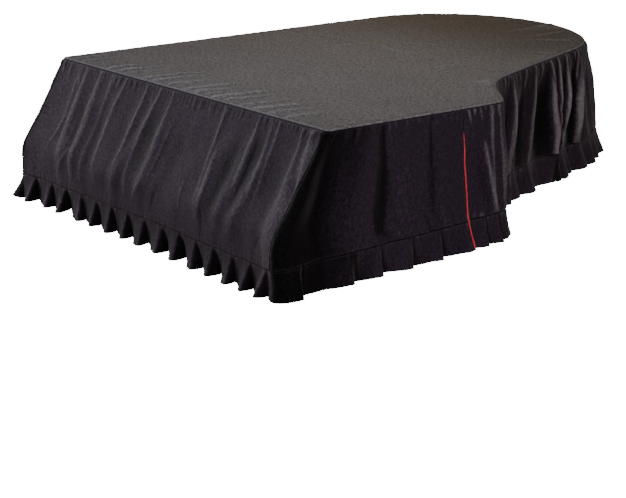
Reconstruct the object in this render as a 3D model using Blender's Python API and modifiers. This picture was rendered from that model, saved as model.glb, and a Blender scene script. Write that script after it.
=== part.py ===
"""Fitted dust cover for a grand piano: a flat top cut to the lid, side panels that hang from its edge,
and a pleated frill sewn round the bottom. Metres, +Z up, +Y from the keyboard to the tail.
"""

import bisect
import math
import random

import bpy

# Driving dimensions, in metres. Plan positions are measured from the piano's key slip (y = 0)
# and from the middle of its keyboard (x = 0).
HALF_WIDTH = 0.745          # the lid is 1.49 m wide
LID_FRONT = 0.180           # the lid starts behind the keys
ORIGIN_Y = 0.960            # the frame's origin, midway along the lid
CORNER_RADIUS = 0.014       # plan radius of the lid's two front corners
CLOTH = 0.002               # thickness of the brushed-back cloth
EDGE_ROLL = 0.0045          # the top turns down over the lid's edge by this much
SEAM_GAP = 0.0003           # clearance between two pieces that are sewn together
FRILL_GAP = 0.0007          # the same above the frill, where the two tilt differently
FRILL_HEIGHT = 0.083        # finished height of the frill
FRILL_ROWS = (0.0, 0.05, 0.50, 1.0)     # the frill's rows, from the seam to the hem
SEAM_BAND = 0.05            # share of the frill that the seam holds flat
TUCK_RISE = 0.0025          # the front pleats' tucks lift the hem by this much
PLEAT_PITCH = 0.098         # one pleat of the frill, along its seam
PLEAT_SEED = 11
SLIT_FLANK = 0.010          # the last pleat before the slit keeps this much of its crest
SLIT_Y = 0.613              # the slit in the treble side, from the key slip
SLIT_TOP = 0.066            # it starts this far below the top
SLIT_TUCK = 0.007           # the rear lip of the slit hangs this far inside the front lip
RED_EDGE = 0.0045           # width of the turned edge that shows along the slit
RED_EDGE_TOP = 0.085        # drop at which it comes out of the slit
FORWARD_RUN = 0.38          # the side panels reach forward over this much of their length

# The lid's outline behind the front corners, treble side first, round the tail to the bass side.
LID_CURVE = [
    # x, y
    (0.745, 0.300),
    (0.745, 0.480),
    (0.743, 0.640),
    (0.737, 0.742),
    (0.704, 0.780),
    (0.636, 0.824),
    (0.556, 0.877),
    (0.482, 0.946),
    (0.424, 1.045),
    (0.338, 1.222),
    (0.262, 1.388),
    (0.200, 1.508),
    (0.106, 1.608),
    (-0.026, 1.682),
    (-0.160, 1.724),
    (-0.300, 1.737),
    (-0.440, 1.722),
    (-0.570, 1.672),
    (-0.680, 1.578),
    (-0.738, 1.460),
    (-0.746, 1.320),
    (-0.745, 1.000),
    (-0.745, 0.640),
    (-0.745, 0.400),
]

# How the cloth falls in front of the lid, over the closed keyboard and down past the key slip.
FRONT_FALL = [
    # drop below the top, reach in front of the lid's edge
    (0.000, 0.000),
    (0.008, 0.001),
    (0.050, 0.024),
    (0.110, 0.057),
    (0.160, 0.085),
    (0.200, 0.112),
    (0.232, 0.136),
    (0.258, 0.149),
    (0.290, 0.155),
    (0.350, 0.158),
    (0.460, 0.158),
]

# Where the bottom seam runs, and how far the cloth stands out from the lid there.
BOTTOM_SEAM = [
    # metres round from the bass front corner, drop, stand-out, puff just below the top
    (0.00, 0.350, 0.014, 0.000),
    (0.10, 0.347, 0.002, 0.000),
    (0.80, 0.342, 0.000, 0.000),
    (1.38, 0.342, 0.006, 0.000),
    (1.49, 0.338, 0.020, 0.000),
    (1.60, 0.330, 0.010, 0.000),
    (1.78, 0.319, 0.006, 0.000),
    (1.92, 0.311, 0.006, 0.000),
    (2.06, 0.300, 0.006, 0.001),
    (2.20, 0.296, 0.003, 0.003),
    (2.68, 0.296, 0.000, 0.005),
    (2.78, 0.302, 0.006, 0.006),
    (2.88, 0.292, 0.012, 0.007),
    (3.02, 0.289, 0.030, 0.006),
    (3.30, 0.290, 0.037, 0.007),
    (3.70, 0.294, 0.036, 0.007),
    (4.10, 0.300, 0.028, 0.005),
    (4.50, 0.314, 0.016, 0.002),
    (5.00, 0.336, 0.010, 0.000),
    (5.37, 0.350, 0.014, 0.000),
]

# Folds that run down the panels. A positive height stands out, a negative one is a hollow.
FOLDS = [
    # metres round, half width, height, drop where it starts, lean per metre of drop
    (0.197, 0.028, 0.011, 0.01, 0.20),
    (0.293, 0.028, 0.012, 0.01, 0.18),
    (0.370, 0.030, -0.006, 0.03, 0.20),
    (0.470, 0.040, 0.008, 0.14, 0.20),
    (0.585, 0.028, 0.010, 0.01, 0.03),
    (0.665, 0.026, 0.009, 0.02, -0.18),
    (0.745, 0.030, 0.010, 0.02, 0.05),
    (0.880, 0.060, -0.007, 0.05, 0.00),
    (1.069, 0.040, 0.012, 0.02, 0.10),
    (1.189, 0.028, 0.009, 0.02, 0.00),
    (1.293, 0.028, 0.009, 0.02, -0.10),
    (1.409, 0.032, 0.010, 0.02, 0.12),
    (1.512, 0.034, -0.016, 0.00, 0.25),
    (1.632, 0.034, 0.004, 0.03, 0.12),
    (1.690, 0.028, -0.007, 0.03, 0.12),
    (1.760, 0.040, 0.003, 0.04, 0.05),
    (1.824, 0.018, -0.004, 0.02, 0.02),
    (2.072, 0.024, 0.008, 0.03, 0.00),
    (2.160, 0.040, -0.020, 0.02, 0.00),
    (2.270, 0.030, 0.014, 0.01, 0.00),
    (2.400, 0.040, -0.012, 0.03, 0.00),
    (2.510, 0.024, 0.018, 0.00, -0.20),
    (2.575, 0.022, -0.010, 0.01, -0.15),
    (2.665, 0.024, 0.016, 0.00, -0.22),
    (2.700, 0.044, -0.024, 0.02, -0.05),
    (2.762, 0.017, 0.022, 0.00, 0.05),
    (2.830, 0.016, 0.016, 0.00, -0.18),
    (2.900, 0.018, 0.020, 0.00, -0.30),
    (2.945, 0.022, -0.016, 0.01, -0.20),
    (2.985, 0.022, 0.018, 0.00, -0.20),
    (3.070, 0.034, -0.012, 0.01, 0.00),
    (3.160, 0.034, 0.014, 0.00, 0.00),
    (3.250, 0.040, -0.012, 0.02, 0.00),
    (3.350, 0.036, 0.015, 0.00, 0.05),
    (3.470, 0.045, -0.013, 0.02, 0.00),
    (3.590, 0.036, 0.015, 0.00, 0.00),
    (3.700, 0.045, -0.012, 0.02, 0.00),
    (3.820, 0.040, 0.014, 0.00, -0.05),
    (3.950, 0.050, -0.010, 0.03, 0.00),
    (4.090, 0.042, 0.012, 0.01, 0.05),
    (4.260, 0.060, -0.008, 0.04, 0.00),
    (4.430, 0.050, 0.009, 0.03, 0.00),
    (4.640, 0.070, -0.005, 0.05, 0.00),
    (4.840, 0.055, 0.007, 0.04, 0.05),
    (5.040, 0.060, -0.005, 0.05, 0.00),
    (5.180, 0.050, 0.007, 0.04, 0.10),
    (5.320, 0.038, -0.013, 0.04, -0.05),
]

# The panels' rows, from the top down: share of the way to the bottom seam. The slit starts at the third.
PANEL_ROWS = (0.0, 0.07, 0.20, 0.42, 0.62, 0.81, 1.0)

# The frill's pleats, from deep even ones along the front to flatter ones along the sides.
PLEATS = [
    # metres round, crest's reach at the hem, depth at the hem, run of the rear flank at the hem
    (0.00, 0.042, 0.042, 0.009),
    (0.15, 0.022, 0.042, 0.009),
    (1.40, 0.022, 0.042, 0.009),
    (1.52, 0.020, 0.030, 0.009),
    (1.64, 0.014, 0.022, 0.007),
    (1.92, 0.014, 0.022, 0.007),
    (2.10, 0.020, 0.024, 0.010),
    (2.50, 0.022, 0.028, 0.010),
    (3.00, 0.028, 0.028, 0.012),
    (3.60, 0.034, 0.030, 0.014),
    (4.20, 0.028, 0.028, 0.014),
    (4.90, 0.022, 0.024, 0.012),
    (5.30, 0.030, 0.034, 0.010),
    (5.40, 0.042, 0.042, 0.009),
]

# Each pleat's line as far as the tail; the rest are spaced by chance.
PLEAT_LINES = [
    # apex in the seam, crest at the hem, both in metres round; share of the full depth behind the crest
    (0.014, 0.010, 1.00),
    (0.107, 0.074, 1.20),
    (0.215, 0.188, 0.85),
    (0.313, 0.272, 1.30),
    (0.417, 0.407, 0.75),
    (0.512, 0.492, 0.90),
    (0.612, 0.594, 1.10),
    (0.705, 0.682, 0.95),
    (0.802, 0.777, 0.95),
    (0.906, 0.884, 1.00),
    (0.999, 0.978, 1.15),
    (1.095, 1.090, 0.90),
    (1.190, 1.172, 1.15),
    (1.290, 1.264, 0.90),
    (1.380, 1.346, 1.00),
    (1.470, 1.428, 1.10),
    (1.549, 1.538, 0.90),
    (1.660, 1.654, 1.00),
    (1.713, 1.709, 1.10),
    (1.775, 1.765, 0.90),
    (1.842, 1.833, 1.20),
    (1.990, 1.980, 1.00),
    (2.032, 2.034, 1.10),
    (2.110, 2.100, 1.00),
    (2.205, 2.195, 0.90),
    (2.290, 2.275, 1.10),
    (2.375, 2.360, 1.00),
    (2.462, 2.444, 1.10),
    (2.547, 2.530, 1.00),
    (2.640, 2.620, 0.90),
    (2.786, 2.758, 0.70),
    (2.824, 2.836, 1.10),
    (2.892, 2.866, 1.00),
    (2.972, 2.950, 0.90),
    (3.036, 3.006, 1.00),
    (3.090, 3.078, 1.00),
]

BLACK = ("black_cloth", (0.020, 0.018, 0.021), 0.82)
RED = ("red_reverse", (0.36, 0.022, 0.028), 0.90)


def smooth_step(t):
    t = min(1.0, max(0.0, t))
    return t * t * (3.0 - 2.0 * t)


def read_table(rows, at, column):
    """The column's value at a place between two rows of a table whose first column rises."""
    if at <= rows[0][0]:
        return rows[0][column]
    if at >= rows[-1][0]:
        return rows[-1][column]
    i = bisect.bisect_right([row[0] for row in rows], at)
    before, after = rows[i - 1], rows[i]
    share = (at - before[0]) / (after[0] - before[0])
    return before[column] + (after[column] - before[column]) * share


def read_smooth(rows, at, column, spread):
    """The same, averaged over a stretch so that the rows leave no corners."""
    steps = (-1.0, -0.5, 0.0, 0.5, 1.0)
    return sum(read_table(rows, at + spread * k, column) for k in steps) / len(steps)


def corner_arc(centre_x, centre_y, start_angle, steps=6):
    """Points of a quarter circle, turning left."""
    points = []
    for k in range(steps + 1):
        angle = math.radians(start_angle + 90.0 * k / steps)
        points.append((centre_x + CORNER_RADIUS * math.cos(angle), centre_y + CORNER_RADIUS * math.sin(angle)))
    return points


def through(a, b, c, d, t):
    """A point between b and c on the smooth curve that passes a, b, c and d."""
    return tuple(
        0.5 * (2 * q + (r - p) * t + (2 * p - 5 * q + 4 * r - s) * t**2 + (3 * q - p - 3 * r + s) * t**3)
        for p, q, r, s in zip(a, b, c, d)
    )


class Outline:
    """A closed plan line that is read by the distance along it."""

    def __init__(self, points):
        self.points = points
        self.along = [0.0]
        for a, b in zip(points, points[1:] + points[:1]):
            self.along.append(self.along[-1] + math.dist(a, b))
        self.length = self.along[-1]

    def at(self, s):
        s = s % self.length
        i = min(bisect.bisect_right(self.along, s) - 1, len(self.points) - 1)
        a, b = self.points[i], self.points[(i + 1) % len(self.points)]
        share = (s - self.along[i]) / (self.along[i + 1] - self.along[i])
        return a[0] + (b[0] - a[0]) * share, a[1] + (b[1] - a[1]) * share

    def outward(self, s, reach=0.005):
        a, b = self.at(s - reach), self.at(s + reach)
        size = math.dist(a, b)
        return (b[1] - a[1]) / size, (a[0] - b[0]) / size


def lid_outline():
    """The lid's edge in the frame's own coordinates, from the bass front corner towards the treble."""
    inner_x = HALF_WIDTH - CORNER_RADIUS
    inner_y = LID_FRONT + CORNER_RADIUS
    bass_corner = corner_arc(-inner_x, inner_y, 180.0)
    treble_corner = corner_arc(inner_x, inner_y, 270.0)
    ends = [treble_corner[-1]] + LID_CURVE + [bass_corner[0]]
    ends = [(0.745, 0.150)] + ends + [(-0.745, 0.150)]
    curve = []
    for i in range(1, len(ends) - 2):
        for k in range(10):
            curve.append(through(ends[i - 1], ends[i], ends[i + 1], ends[i + 2], k / 10))
    points = bass_corner + treble_corner + curve[1:]
    return Outline([(x, y - ORIGIN_Y) for x, y in points])


LID = lid_outline()
ARC = math.pi / 2 * CORNER_RADIUS
FRONT_END = 2 * (HALF_WIDTH - CORNER_RADIUS) + 2 * ARC       # where the treble corner's arc ends
PANEL_TOP = EDGE_ROLL + SEAM_GAP                             # drop of the panels' upper edge
SLIT = FRONT_END + SLIT_Y - LID_FRONT - CORNER_RADIUS        # the slit's place round the lid
SEAM_COLUMN = 0.003                                          # a panel's first and last columns are slim
CORNER_SEAM = ARC + SEAM_COLUMN                              # the apron's seams, beside the two corners
TAIL_SEAM = 3.09                                             # seams between the side panels
BASS_SEAM = 4.26


def seam_drop(s):
    return read_smooth(BOTTOM_SEAM, s % LID.length, 1, 0.08)


def forward_share(s):
    """1 along the front, fading to 0 along each side panel."""
    y = LID.at(s)[1] + ORIGIN_Y
    return 1.0 - smooth_step((y - LID_FRONT - CORNER_RADIUS) / FORWARD_RUN)


def fold_height(s, drop):
    """How far the folds push the cloth out at this place."""
    total = 0.0
    for place, half_width, height, start, lean in FOLDS:
        off = (s - place - lean * drop + LID.length / 2) % LID.length - LID.length / 2
        if abs(off) < 3 * half_width:
            total += height * math.exp(-((off / half_width) ** 2)) * smooth_step((drop - start) / 0.14)
    return total


def slit_line(drop):
    """The slit's place round the lid: it drifts towards the tail lower down."""
    return SLIT + 0.007 * smooth_step((drop - 0.134) / 0.17) + 0.020 * smooth_step((drop - 0.28) / 0.14)


def red_width(drop):
    """The red edge's width at this drop; there is none above the slit."""
    return RED_EDGE * min(1.0, max(0.0, (drop - SLIT_TOP) / 0.068))


def slit_tuck(behind, drop):
    """How far the cloth just behind the slit lies inside."""
    return SLIT_TUCK * (1.0 - smooth_step(behind / 0.08)) * smooth_step((drop - SLIT_TOP) / 0.05)


def panel_point(s, drop, tuck=0.0):
    """A point of the cloth's outer face, by the distance round the lid and the drop below its top."""
    x, y = LID.at(s)
    out_x, out_y = LID.outward(s)
    stand = read_smooth(BOTTOM_SEAM, s % LID.length, 2, 0.04)
    puff = read_smooth(BOTTOM_SEAM, s % LID.length, 3, 0.04) * smooth_step(drop / 0.03)
    out = puff + (stand - puff) * (drop / seam_drop(s)) ** 1.1 + fold_height(s, drop) - tuck
    ahead = forward_share(s) * read_smooth(FRONT_FALL, drop, 1, 0.012)
    return x + out_x * out, y + out_y * out - ahead, CLOTH - drop


def frill_point(s, wave, depth_share, down, tuck=0.0):
    """A point of the frill: wave 0 in a tuck to 1 on a crest, down 0 at the seam to 1 at the hem."""
    place = s % LID.length
    crest = read_table(PLEATS, place, 1)
    depth = read_table(PLEATS, place, 2) * depth_share
    ahead = panel_point(s + 0.004, seam_drop(s + 0.004))
    behind = panel_point(s - 0.004, seam_drop(s - 0.004))
    run = math.dist(ahead[:2], behind[:2])
    along_x, along_y = (ahead[0] - behind[0]) / run, (ahead[1] - behind[1]) / run
    x, y, z = panel_point(s, seam_drop(s), tuck)
    open_share = max(0.0, (down - SEAM_BAND) / (1.0 - SEAM_BAND))
    push = crest * open_share**1.1 - depth * open_share**0.9 * (1.0 - wave)
    rise = TUCK_RISE * forward_share(s) * (1.0 - wave) * down
    fall = FRILL_HEIGHT * down - 0.35 * push * push / FRILL_HEIGHT - rise
    return x + along_y * push, y - along_x * push, z - FRILL_GAP - fall


def material(name, colour, roughness):
    found = bpy.data.materials.get(name)
    if found:
        return found
    made = bpy.data.materials.new(name)
    made.use_nodes = True
    shader = made.node_tree.nodes["Principled BSDF"]
    shader.inputs["Base Color"].default_value = (*colour, 1.0)
    shader.inputs["Roughness"].default_value = roughness
    shader.inputs["Metallic"].default_value = 0.0
    return made


def finish_sheet(sheet, finish):
    """Gives the open sheet its cloth and its thickness, on the inner side."""
    sheet.data.materials.clear()
    sheet.data.materials.append(material(*finish))
    sheet.data.shade_smooth()
    wall = sheet.modifiers.new("cloth thickness", "SOLIDIFY")
    wall.thickness = CLOTH
    wall.offset = -1.0
    for collection in list(sheet.users_collection):
        collection.objects.unlink(sheet)
    COVER.objects.link(sheet)
    return sheet


def cloth_grid(name, finish, columns, rows, place):
    """A grid of cloth whose corners place(column, row) sets."""
    bpy.ops.mesh.primitive_grid_add(x_subdivisions=columns, y_subdivisions=rows, size=2.0)
    sheet = bpy.context.object
    sheet.name = sheet.data.name = name
    for vertex in sheet.data.vertices:
        column = round((vertex.co.x + 1.0) / 2.0 * columns)
        row = round((1.0 - vertex.co.y) / 2.0 * rows)
        vertex.co = place(column, row)
    return finish_sheet(sheet, finish)


def column_step(s):
    """Width of a panel's columns: narrow round the corners and where the folds are close."""
    s = s % LID.length
    if s < ARC + 0.012 or s > LID.length - 0.012 or abs(s - FRONT_END + ARC / 2) < 0.028:
        return 0.0085
    if 1.99 < s < 2.20:
        return 0.015
    if 2.20 < s < 3.10:
        return 0.018
    if 3.10 < s < 4.20:
        return 0.025
    return 0.029 if s < 1.99 else 0.036


def column_marks(start, end, end_column=SEAM_COLUMN, widen=1.0):
    """Places of the columns' edges between two ends, as shares; the end columns are slim."""
    inner = [0.0]
    s = start
    while s < end:
        s += column_step(s) * widen
        inner.append(s - start)
    if not end_column:
        return [mark / inner[-1] for mark in inner]
    slim = end_column / (end - start)
    return [0.0] + [slim + (1 - 2 * slim) * mark / inner[-1] for mark in inner] + [1.0]


def make_top():
    """The top: one flat face with the lid's outline, its edge rolled over."""
    marks = column_marks(0.0, LID.length, end_column=0.0, widen=1.3)
    count = len(marks) - 1
    bends = [(0.0, CLOTH - EDGE_ROLL), (0.0002, 0.0006), (0.0035, CLOTH)]
    bpy.ops.mesh.primitive_circle_add(vertices=count, radius=1.0, fill_type="NGON")
    top = bpy.context.object
    top.name = top.data.name = "top_panel"
    bpy.ops.object.mode_set(mode="EDIT")
    bpy.ops.mesh.select_all(action="SELECT")
    for _ in bends[1:]:
        bpy.ops.mesh.inset(thickness=0.1)
    bpy.ops.object.mode_set(mode="OBJECT")
    by_radius = sorted(top.data.vertices, key=lambda v: -round(v.co.length, 4))
    for i, (inset, z) in enumerate(bends):
        loop = by_radius[i * count:(i + 1) * count]
        loop.sort(key=lambda v: math.atan2(v.co.y, v.co.x) % (2 * math.pi))
        for k, vertex in enumerate(loop):
            x, y = LID.at(LID.length * marks[k])
            out_x, out_y = LID.outward(LID.length * marks[k])
            vertex.co = (x - out_x * inset, y - out_y * inset, z)
    return finish_sheet(top, BLACK)


def make_panel(name, start, end):
    marks = column_marks(start, end)
    rows = len(PANEL_ROWS) - 1

    def place(column, row):
        drop = PANEL_TOP + (seam_drop(SLIT) - PANEL_TOP) * PANEL_ROWS[row]
        first = start + SEAM_GAP / 2
        last = end - SEAM_GAP / 2
        tuck = 0.0
        if end == SLIT:
            last = slit_line(drop) - SEAM_GAP / 2
        if start == SLIT:
            first = slit_line(drop) + red_width(drop) + SEAM_GAP * (0.5 if row < 3 else 1.5)
            tuck = slit_tuck((last - first) * marks[column], drop)
        s = first + (last - first) * marks[column]
        return panel_point(s, PANEL_TOP + (seam_drop(s) - PANEL_TOP) * PANEL_ROWS[row], tuck)

    return cloth_grid(name, BLACK, len(marks) - 1, rows, place)


def frill_lines():
    """Every pleat's line, once round the hem."""
    chance = random.Random(PLEAT_SEED)
    slit = (SLIT, SLIT - SLIT_FLANK, 0.9)
    lines = sorted(PLEAT_LINES + [slit])
    start, end = lines[-1][0], lines[0][0] + LID.length
    count = round((end - start) / PLEAT_PITCH)
    widths = [1.0 + chance.uniform(-0.15, 0.15) for _ in range(count)]
    for k in range(1, count):
        apex = start + (end - start) * sum(widths[:k]) / sum(widths)
        lines.append((apex, apex - chance.uniform(0.006, 0.030), chance.uniform(0.8, 1.15)))
    return lines + [(end, lines[0][1] + LID.length, lines[0][2])]


def frill_slit_line(down):
    return slit_line(seam_drop(SLIT) + FRILL_HEIGHT * down)


def make_frill(name, first, last):
    """One frill, from the tuck behind one pleat's line to the tuck behind another's."""
    lap = LID.length
    before = [(apex - lap, crest - lap, depth) for apex, crest, depth in LINES[:-1]]
    lines = [line for line in before + LINES if first - 0.001 < line[0] < last + 0.001]
    pleats = len(lines) - 1

    def place(column, row):
        down = FRILL_ROWS[row]
        pleat = min(column // 6, pleats - 1)
        step = column - pleat * 6
        wave = (0.0, 0.16, 0.50, 0.90, 1.0, 0.50, 0.0)[step]
        (apex, crest, depth), (next_apex, next_crest, next_depth) = lines[pleat:pleat + 2]
        inner = crest + read_table(PLEATS, crest % LID.length, 3)
        flank = read_table(PLEATS, next_crest % LID.length, 3)
        at_seam = apex + (next_apex - apex) * (0.0, 0.22, 0.46, 0.70, 0.88, 0.94, 1.0)[step]
        at_hem = inner + (next_crest - inner) * (0.0, 0.24, 0.52, 0.80, 1.0, 1.0, 1.0)[step]
        at_hem += flank * (0.0, 0.0, 0.0, 0.0, 0.0, 0.5, 1.0)[step]
        share = depth + (next_depth - depth) * step / 6
        s = at_seam + (at_hem - at_seam) * down
        tuck = 0.0
        if last == SLIT and pleat == pleats - 1 and step > 3:
            s = SLIT - SLIT_FLANK * (6 - step) / 2
            wave = (1.0, 0.9, 0.8)[step - 4]
        if first == SLIT:
            tuck = slit_tuck(s - SLIT, 1.0)
            if step == 0 and pleat == 0:
                s = SLIT
        if last == SLIT:
            s += (frill_slit_line(down) - SLIT) * max(0.0, 1.0 - (SLIT - s) / 0.25)
        if first == SLIT:
            s += (frill_slit_line(down) - SLIT) * max(0.0, 1.0 - (s - SLIT) / 0.25)
        if column == 0:
            s += SEAM_GAP / 2 if first != SLIT else RED_EDGE + 1.5 * SEAM_GAP
        if column == pleats * 6:
            s -= SEAM_GAP / 2
        return frill_point(s, wave, share, down, tuck)

    return cloth_grid(name, BLACK, pleats * 6, len(FRILL_ROWS) - 1, place)


def make_slit_edge():
    """The front lip's turned edge, which shows its red reverse from the slit's top to the hem."""
    drops = [PANEL_TOP + (seam_drop(SLIT) - PANEL_TOP) * share for share in PANEL_ROWS[3:]]
    drops = [RED_EDGE_TOP] + drops

    def place(column, row):
        if row < len(drops):
            s = slit_line(drops[row]) + SEAM_GAP / 2 + red_width(drops[row]) * column
            drop = drops[row] * seam_drop(s) / seam_drop(SLIT)
            return panel_point(s, drop)
        down = FRILL_ROWS[row - len(drops) + 1]
        s = frill_slit_line(down) + SEAM_GAP / 2 + RED_EDGE * column
        return frill_point(s, 0.8, 0.9, down)

    return cloth_grid("slit_edge", RED, 1, len(drops) + len(FRILL_ROWS) - 2, place)


def clear_scene():
    for old in list(bpy.data.objects):
        bpy.data.objects.remove(old)


clear_scene()
COVER = bpy.data.collections.new("grand piano cover")
bpy.context.scene.collection.children.link(COVER)

PANELS = [
    # name, start, end, in metres round from the bass front corner
    ("front", CORNER_SEAM, FRONT_END - CORNER_SEAM),
    ("treble", FRONT_END - CORNER_SEAM, SLIT),
    ("bentside", SLIT, TAIL_SEAM),
    ("tail", TAIL_SEAM, BASS_SEAM),
    ("bass", BASS_SEAM, LID.length + CORNER_SEAM),
]

LINES = frill_lines()
TAIL_END = min((line[0] for line in LINES), key=lambda apex: abs(apex - BASS_SEAM))
BASS_END = LINES[-2][0]
FRILLS = [
    # name, the pleat's line behind which it starts, and the one behind which it ends
    ("front", BASS_END - LID.length, 1.549),
    ("treble", 1.549, SLIT),
    ("bentside", SLIT, 3.090),
    ("tail", 3.090, TAIL_END),
    ("bass", TAIL_END, BASS_END),
]

make_top()
for side, panel_start, panel_end in PANELS:
    make_panel("apron_front" if side == "front" else "skirt_" + side, panel_start, panel_end)
for side, first_line, last_line in FRILLS:
    make_frill("frill_" + side, first_line, last_line)
make_slit_edge()
print("round the lid", round(LID.length, 3), "slit at", round(SLIT, 3), "front ends at", round(FRONT_END, 3))
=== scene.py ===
# Fitted cover for a grand piano: a top cut to the lid, five panels hung from its edge, a pleated frill below.
import math
import random

import bpy
import numpy as np
from mathutils import Matrix, Vector


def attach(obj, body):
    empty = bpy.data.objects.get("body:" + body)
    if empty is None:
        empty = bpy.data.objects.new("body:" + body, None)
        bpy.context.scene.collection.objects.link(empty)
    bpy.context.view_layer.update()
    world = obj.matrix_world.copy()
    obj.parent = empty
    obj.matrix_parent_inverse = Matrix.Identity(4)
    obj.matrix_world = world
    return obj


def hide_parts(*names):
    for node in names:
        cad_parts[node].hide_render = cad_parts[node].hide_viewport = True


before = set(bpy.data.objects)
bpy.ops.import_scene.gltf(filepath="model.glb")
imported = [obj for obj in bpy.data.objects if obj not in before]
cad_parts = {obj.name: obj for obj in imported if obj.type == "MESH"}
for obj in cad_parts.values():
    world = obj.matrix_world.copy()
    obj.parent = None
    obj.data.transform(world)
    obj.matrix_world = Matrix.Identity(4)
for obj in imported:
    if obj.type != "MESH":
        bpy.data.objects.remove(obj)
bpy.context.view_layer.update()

bpy.ops.object.select_all(action="DESELECT")


def metres(columns, rows):  # long tables are in millimetres in their first columns
    return [tuple(v / 1000 for v in row[:columns]) + row[columns:] for row in rows]


# Everything that the panels share: the lid's edge, the drop at the front, and the bottom seam. Metres.
lid = {
    "halfWidth": 0.745,
    "front": 0.18,  # plan places are measured from the key slip
    "origin": 0.96,
    "cornerRadius": 0.014,
    "guide": 0.15,  # where the curve's guide points lie, ahead of the front corners
    "cornerSteps": 24,
    "curveSteps": 40,
    "curve": metres(2, [  # behind the front corners, treble side first
        (745, 300), (745, 480), (743, 640), (737, 742), (704, 780), (636, 824), (556, 877), (482, 946), (424, 1045),
        (338, 1222), (262, 1388), (200, 1508), (106, 1608), (-26, 1682), (-160, 1724), (-300, 1737), (-440, 1722),
        (-570, 1672), (-680, 1578), (-738, 1460), (-746, 1320), (-745, 1000), (-745, 640), (-745, 400),
    ]),
}
hang = {
    "cloth": 0.002,  # the frame's cloth
    "wall": 0.0016,  # the wall that is made here
    "roll": 0.0045,
    "rollGap": 0.0003,
    "gap": 0.0002,
    "uneven": 0.0011,
    "frontFall": metres(2, [  # drop, reach in front of the lid's edge
        (0, 0), (8, 1), (50, 24), (110, 57), (160, 85), (200, 112), (232, 136), (258, 149), (290, 155), (350, 158),
        (460, 158),
    ]),
    "bottomSeam": metres(4, [  # round from the bass front corner, drop, stand-out, puff
        (0, 350, 14, 0), (100, 347, 2, 0), (800, 342, 0, 0), (1380, 342, 6, 0), (1490, 338, 20, 0),
        (1600, 330, 10, 0), (1780, 319, 6, 0), (1920, 311, 6, 0), (2060, 300, 6, 1), (2200, 296, 3, 3),
        (2680, 296, 0, 5), (2780, 302, 6, 6), (2880, 292, 12, 7), (3020, 289, 30, 6), (3300, 290, 37, 7),
        (3700, 294, 36, 7), (4100, 300, 28, 5), (4500, 314, 16, 2), (5000, 336, 10, 0), (5370, 350, 14, 0),
    ]),
    "forwardRun": 0.38,
    "cornerFlat": 0.003,  # from a corner's arc to the seam beside it
    "slitY": 0.613,
    "slitTop": 0.066,
    "slitTuck": 0.007,
    "slitBends": [(0.007, 0.134, 0.17), (0.02, 0.28, 0.14)],  # how far to the rear, from and over which drop
    "redEdge": 0.0045,
    "redTop": 0.068,
    "redRun": 0.08,
    "tailSeam": 3.09,
    "bassSeam": 4.26,
}


def smooth(t):
    t = np.clip(t, 0.0, 1.0)
    return t * t * (3.0 - 2.0 * t)


def bell(t):
    return np.exp(-(t**2))


def readRows(rows, at, column):
    rows = np.array(rows)
    return np.interp(at, rows[:, 0], rows[:, column])


def readSoftly(rows, at, column, reach):  # averaged over a stretch, so that no row leaves a corner
    return sum(readRows(rows, at + reach * k, column) for k in (-1.0, -0.5, 0.0, 0.5, 1.0)) / 5


def lidLine():
    width, radius, steps = lid["halfWidth"], lid["cornerRadius"], lid["cornerSteps"]

    def quarter(x, start):
        turn = np.radians(start + 90.0 * np.arange(steps + 1) / steps)
        return [(x + radius * math.cos(a), lid["front"] + radius + radius * math.sin(a)) for a in turn]

    bass, treble = quarter(radius - width, 180.0), quarter(width - radius, 270.0)
    ends = np.array([(width, lid["guide"]), treble[-1]] + lid["curve"] + [bass[0], (-width, lid["guide"])])
    curve = []
    for i in range(1, len(ends) - 2):
        p, q, r, s = ends[i - 1:i + 3]
        for t in np.arange(lid["curveSteps"]) / lid["curveSteps"]:
            curve.append(tuple(0.5 * (2 * q + (r - p) * t + (2 * p - 5 * q + 4 * r - s) * t**2
                                      + (3 * q - p - 3 * r + s) * t**3)))
    line = np.array(bass + treble + curve[1:])
    line[:, 1] -= lid["origin"]
    return np.vstack([line, line[:1]])


lidPoints = lidLine()
lidAlong = np.concatenate([[0.0], np.cumsum(np.hypot(*np.diff(lidPoints, axis=0).T))])
lidLength = lidAlong[-1]
cornerArc = math.pi / 2 * lid["cornerRadius"]
frontEnd = 2 * (lid["halfWidth"] - lid["cornerRadius"]) + 2 * cornerArc
cornerSeam = cornerArc + hang["cornerFlat"]
panelTop = hang["roll"] + hang["rollGap"]
halfGap = hang["gap"] / 2
tailSeam = hang["tailSeam"]
slit = frontEnd + hang["slitY"] - lid["front"] - lid["cornerRadius"]


def lidAt(s):
    s = np.mod(s, lidLength)
    return np.interp(s, lidAlong, lidPoints[:, 0]), np.interp(s, lidAlong, lidPoints[:, 1])


def lidOutward(s, reach=0.005):
    ax, ay = lidAt(s - reach)
    bx, by = lidAt(s + reach)
    size = np.hypot(bx - ax, by - ay)
    return (by - ay) / size, (ax - bx) / size


def seamRow(s, column, reach=0.04):
    return readSoftly(hang["bottomSeam"], np.mod(s, lidLength), column, reach)


def seamDrop(s):
    return seamRow(s, 1, 0.08)


def forwardShare(s):
    y = lidAt(s)[1] + lid["origin"]
    return 1.0 - smooth((y - lid["front"] - lid["cornerRadius"]) / hang["forwardRun"])


def roundFrom(s, place):  # signed distance round the lid
    return np.mod(s - place + lidLength / 2, lidLength) - lidLength / 2


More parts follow.
